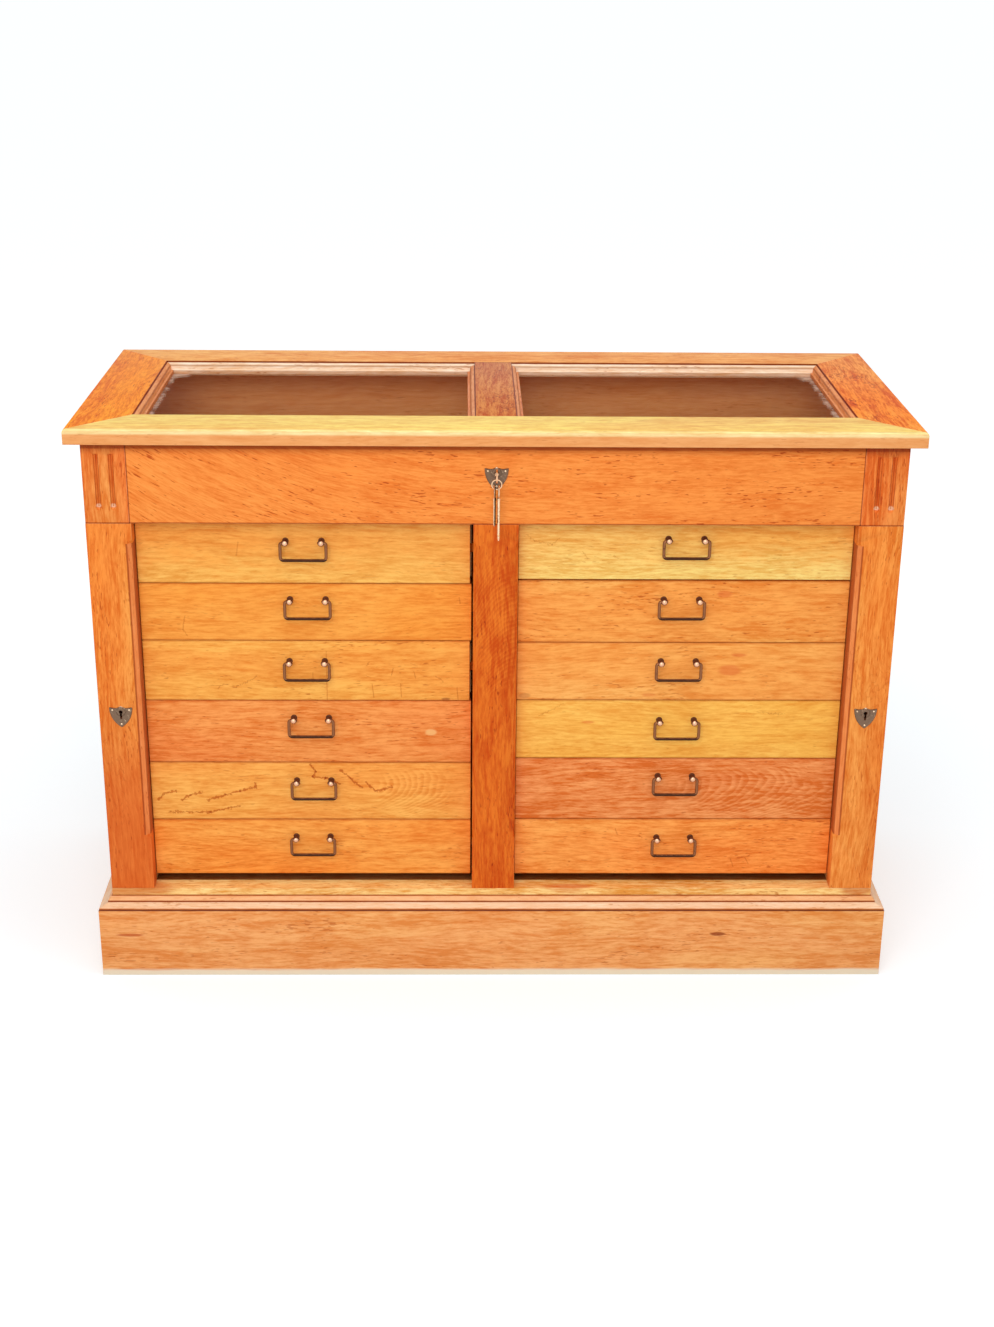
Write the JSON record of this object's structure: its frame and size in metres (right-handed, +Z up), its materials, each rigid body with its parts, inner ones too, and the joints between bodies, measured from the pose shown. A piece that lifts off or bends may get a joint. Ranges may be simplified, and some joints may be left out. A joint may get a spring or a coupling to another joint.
{
  "type": "haberdashery cabinet",
  "caption": "Oak haberdashery cabinet with a glazed lift-up display lid over two stacks of drawers held by hinged locking stiles, on a moulded plinth.",
  "frame": {"origin": "on the floor, below the middle of the whole outline", "axes": "+X to the right along the width, +Y towards the back, +Z up; the front faces -Y"},
  "size_m": [1.3, 0.5698, 0.936],
  "materials": {
    "oak": "oiled orange-brown oak",
    "pale_oak": "oiled honey oak",
    "dark_oak": "dark unlit inner wood",
    "bronze": "dark bronzed wire",
    "brass": "aged brass",
    "steel": "worn bright steel",
    "glass": "clear sheet glass"
  },
  "bodies": {
    "case": {"plinth_front": "oak", "plinth_left": "oak", "plinth_right": "oak", "base_board": "oak", "side_left": "oak", "side_right": "oak", "back_panel": "dark_oak", "centre_upright": "oak", "display_floor": "dark_oak", "frieze": "oak", "capital_block_left": "oak", "capital_block_right": "oak", "escutcheon_lid": "brass", "lid_lock": "steel", "lid_hinge_case_leaf_left": "brass", "lid_hinge_case_leaf_right": "brass"},
    "lid": {"lid_front_rail": "pale_oak", "lid_back_rail": "pale_oak", "lid_left_rail": "oak", "lid_right_rail": "oak", "lid_mullion": "oak", "lid_glass_left": "glass", "lid_glass_right": "glass", "lid_hinge_lid_leaf_left": "brass", "lid_hinge_lid_leaf_right": "brass"},
    "locking_stile_left": {"locking_stile_left": "oak", "escutcheon_left": "brass", "stile_lock_left": "steel"},
    "locking_stile_right": {"locking_stile_right": "oak", "escutcheon_right": "brass", "stile_lock_right": "steel"},
    "lid_key": {"lid_key": "steel"},
    "lid_lock_bolt": {"lid_lock_bolt": "steel"},
    "key_ring": {"key_ring": "steel"},
    "spare_key_long": {"spare_key_long": "steel"},
    "spare_key_short": {"spare_key_short": "steel"},
    "drawer_left_1": {"drawer_left_1": "pale_oak"},
    "drawer_handle_left_1": {"drawer_handle_left_1": "bronze"},
    "drawer_left_2": {"drawer_left_2": "pale_oak"},
    "drawer_handle_left_2": {"drawer_handle_left_2": "bronze"},
    "drawer_left_3": {"drawer_left_3": "pale_oak"},
    "drawer_handle_left_3": {"drawer_handle_left_3": "bronze"},
    "drawer_left_4": {"drawer_left_4": "pale_oak"},
    "drawer_handle_left_4": {"drawer_handle_left_4": "bronze"},
    "drawer_left_5": {"drawer_left_5": "pale_oak"},
    "drawer_handle_left_5": {"drawer_handle_left_5": "bronze"},
    "drawer_left_6": {"drawer_left_6": "pale_oak"},
    "drawer_handle_left_6": {"drawer_handle_left_6": "bronze"},
    "drawer_right_1": {"drawer_right_1": "pale_oak"},
    "drawer_handle_right_1": {"drawer_handle_right_1": "bronze"},
    "drawer_right_2": {"drawer_right_2": "pale_oak"},
    "drawer_handle_right_2": {"drawer_handle_right_2": "bronze"},
    "drawer_right_3": {"drawer_right_3": "pale_oak"},
    "drawer_handle_right_3": {"drawer_handle_right_3": "bronze"},
    "drawer_right_4": {"drawer_right_4": "pale_oak"},
    "drawer_handle_right_4": {"drawer_handle_right_4": "bronze"},
    "drawer_right_5": {"drawer_right_5": "pale_oak"},
    "drawer_handle_right_5": {"drawer_handle_right_5": "bronze"},
    "drawer_right_6": {"drawer_right_6": "pale_oak"},
    "drawer_handle_right_6": {"drawer_handle_right_6": "bronze"}
  },
  "joints": [
    {"name": "lid_lift", "type": "hinge", "parent": "case", "child": "lid", "pos_m": [0, 0.28135, 0.912], "axis": [-1, 0, 0], "range_deg": [0, 95]},
    {"name": "locking_stile_left_swing", "type": "hinge", "parent": "case", "child": "locking_stile_left", "pos_m": [-0.621, -0.23345, 0.4675], "axis": [0, 0, -1], "range_deg": [0, 90]},
    {"name": "locking_stile_right_swing", "type": "hinge", "parent": "case", "child": "locking_stile_right", "pos_m": [0.621, -0.23345, 0.4675], "axis": [0, 0, 1], "range_deg": [0, 90]},
    {"name": "lid_key_turn", "type": "hinge", "parent": "case", "child": "lid_key", "pos_m": [0, -0.27405, 0.8655], "axis": [0, 1, 0], "range_deg": [0, 90]},
    {"name": "lid_bolt_throw", "type": "slide", "parent": "case", "child": "lid_lock_bolt", "axis": [0, 0, 1], "range_m": [0, 0.006]},
    {"name": "key_ring_swing", "type": "hinge", "parent": "lid_key", "child": "key_ring", "pos_m": [0, -0.27405, 0.8569], "axis": [0, 1, 0], "range_deg": [-90, 0]},
    {"name": "spare_key_long_swing", "type": "hinge", "parent": "key_ring", "child": "spare_key_long", "pos_m": [0.0032, -0.27405, 0.84602], "axis": [-1, 0, 0], "range_deg": [-10, 60]},
    {"name": "spare_key_short_swing", "type": "hinge", "parent": "key_ring", "child": "spare_key_short", "pos_m": [-0.0032, -0.27405, 0.84602], "axis": [-1, 0, 0], "range_deg": [-10, 60]},
    {"name": "drawer_left_1_slide", "type": "slide", "parent": "case", "child": "drawer_left_1", "axis": [0, -1, 0], "range_m": [0, 0.38]},
    {"name": "drawer_handle_left_1_swing", "type": "hinge", "parent": "drawer_left_1", "child": "drawer_handle_left_1", "pos_m": [-0.29877, -0.23795, 0.7473], "axis": [-1, 0, 0], "range_deg": [-18, 160]},
    {"name": "drawer_left_2_slide", "type": "slide", "parent": "case", "child": "drawer_left_2", "axis": [0, -1, 0], "range_m": [0, 0.38]},
    {"name": "drawer_handle_left_2_swing", "type": "hinge", "parent": "drawer_left_2", "child": "drawer_handle_left_2", "pos_m": [-0.29459, -0.23795, 0.65081], "axis": [-1, 0, 0], "range_deg": [-18, 160]},
    {"name": "drawer_left_3_slide", "type": "slide", "parent": "case", "child": "drawer_left_3", "axis": [0, -1, 0], "range_m": [0, 0.38]},
    {"name": "drawer_handle_left_3_swing", "type": "hinge", "parent": "drawer_left_3", "child": "drawer_handle_left_3", "pos_m": [-0.29839, -0.23795, 0.54638], "axis": [-1, 0, 0], "range_deg": [-18, 160]},
    {"name": "drawer_left_4_slide", "type": "slide", "parent": "case", "child": "drawer_left_4", "axis": [0, -1, 0], "range_m": [0, 0.38]},
    {"name": "drawer_handle_left_4_swing", "type": "hinge", "parent": "drawer_left_4", "child": "drawer_handle_left_4", "pos_m": [-0.29421, -0.23795, 0.44818], "axis": [-1, 0, 0], "range_deg": [-18, 160]},
    {"name": "drawer_left_5_slide", "type": "slide", "parent": "case", "child": "drawer_left_5", "axis": [0, -1, 0], "range_m": [0, 0.38]},
    {"name": "drawer_handle_left_5_swing", "type": "hinge", "parent": "drawer_left_5", "child": "drawer_handle_left_5", "pos_m": [-0.29269, -0.23795, 0.33708], "axis": [-1, 0, 0], "range_deg": [-18, 160]},
    {"name": "drawer_left_6_slide", "type": "slide", "parent": "case", "child": "drawer_left_6", "axis": [0, -1, 0], "range_m": [0, 0.38]},
    {"name": "drawer_handle_left_6_swing", "type": "hinge", "parent": "drawer_left_6", "child": "drawer_handle_left_6", "pos_m": [-0.29649, -0.23795, 0.23504], "axis": [-1, 0, 0], "range_deg": [-18, 160]},
    {"name": "drawer_right_1_slide", "type": "slide", "parent": "case", "child": "drawer_right_1", "axis": [0, -1, 0], "range_m": [0, 0.38]},
    {"name": "drawer_handle_right_1_swing", "type": "hinge", "parent": "drawer_right_1", "child": "drawer_handle_right_1", "pos_m": [0.29725, -0.23795, 0.75242], "axis": [-1, 0, 0], "range_deg": [-18, 160]},
    {"name": "drawer_right_2_slide", "type": "slide", "parent": "case", "child": "drawer_right_2", "axis": [0, -1, 0], "range_m": [0, 0.38]},
    {"name": "drawer_handle_right_2_swing", "type": "hinge", "parent": "drawer_right_2", "child": "drawer_handle_right_2", "pos_m": [0.29383, -0.23795, 0.65219], "axis": [-1, 0, 0], "range_deg": [-18, 160]},
    {"name": "drawer_right_3_slide", "type": "slide", "parent": "case", "child": "drawer_right_3", "axis": [0, -1, 0], "range_m": [0, 0.38]},
    {"name": "drawer_handle_right_3_swing", "type": "hinge", "parent": "drawer_right_3", "child": "drawer_handle_right_3", "pos_m": [0.29345, -0.23795, 0.54752], "axis": [-1, 0, 0], "range_deg": [-18, 160]},
    {"name": "drawer_right_4_slide", "type": "slide", "parent": "case", "child": "drawer_right_4", "axis": [0, -1, 0], "range_m": [0, 0.38]},
    {"name": "drawer_handle_right_4_swing", "type": "hinge", "parent": "drawer_right_4", "child": "drawer_handle_right_4", "pos_m": [0.29497, -0.23795, 0.44525], "axis": [-1, 0, 0], "range_deg": [-18, 160]},
    {"name": "drawer_right_5_slide", "type": "slide", "parent": "case", "child": "drawer_right_5", "axis": [0, -1, 0], "range_m": [0, 0.38]},
    {"name": "drawer_handle_right_5_swing", "type": "hinge", "parent": "drawer_right_5", "child": "drawer_handle_right_5", "pos_m": [0.29649, -0.23795, 0.34564], "axis": [-1, 0, 0], "range_deg": [-18, 160]},
    {"name": "drawer_right_6_slide", "type": "slide", "parent": "case", "child": "drawer_right_6", "axis": [0, -1, 0], "range_m": [0, 0.38]},
    {"name": "drawer_handle_right_6_swing", "type": "hinge", "parent": "drawer_right_6", "child": "drawer_handle_right_6", "pos_m": [0.29877, -0.23795, 0.23351], "axis": [-1, 0, 0], "range_deg": [-18, 160]}
  ],
  "couplings": [
    {"joint": "lid_bolt_throw", "follows": "lid_key_turn", "m_per_rad": 0.0038197},
    {"joint": "key_ring_swing", "follows": "lid_key_turn", "ratio": -1}
  ]
}
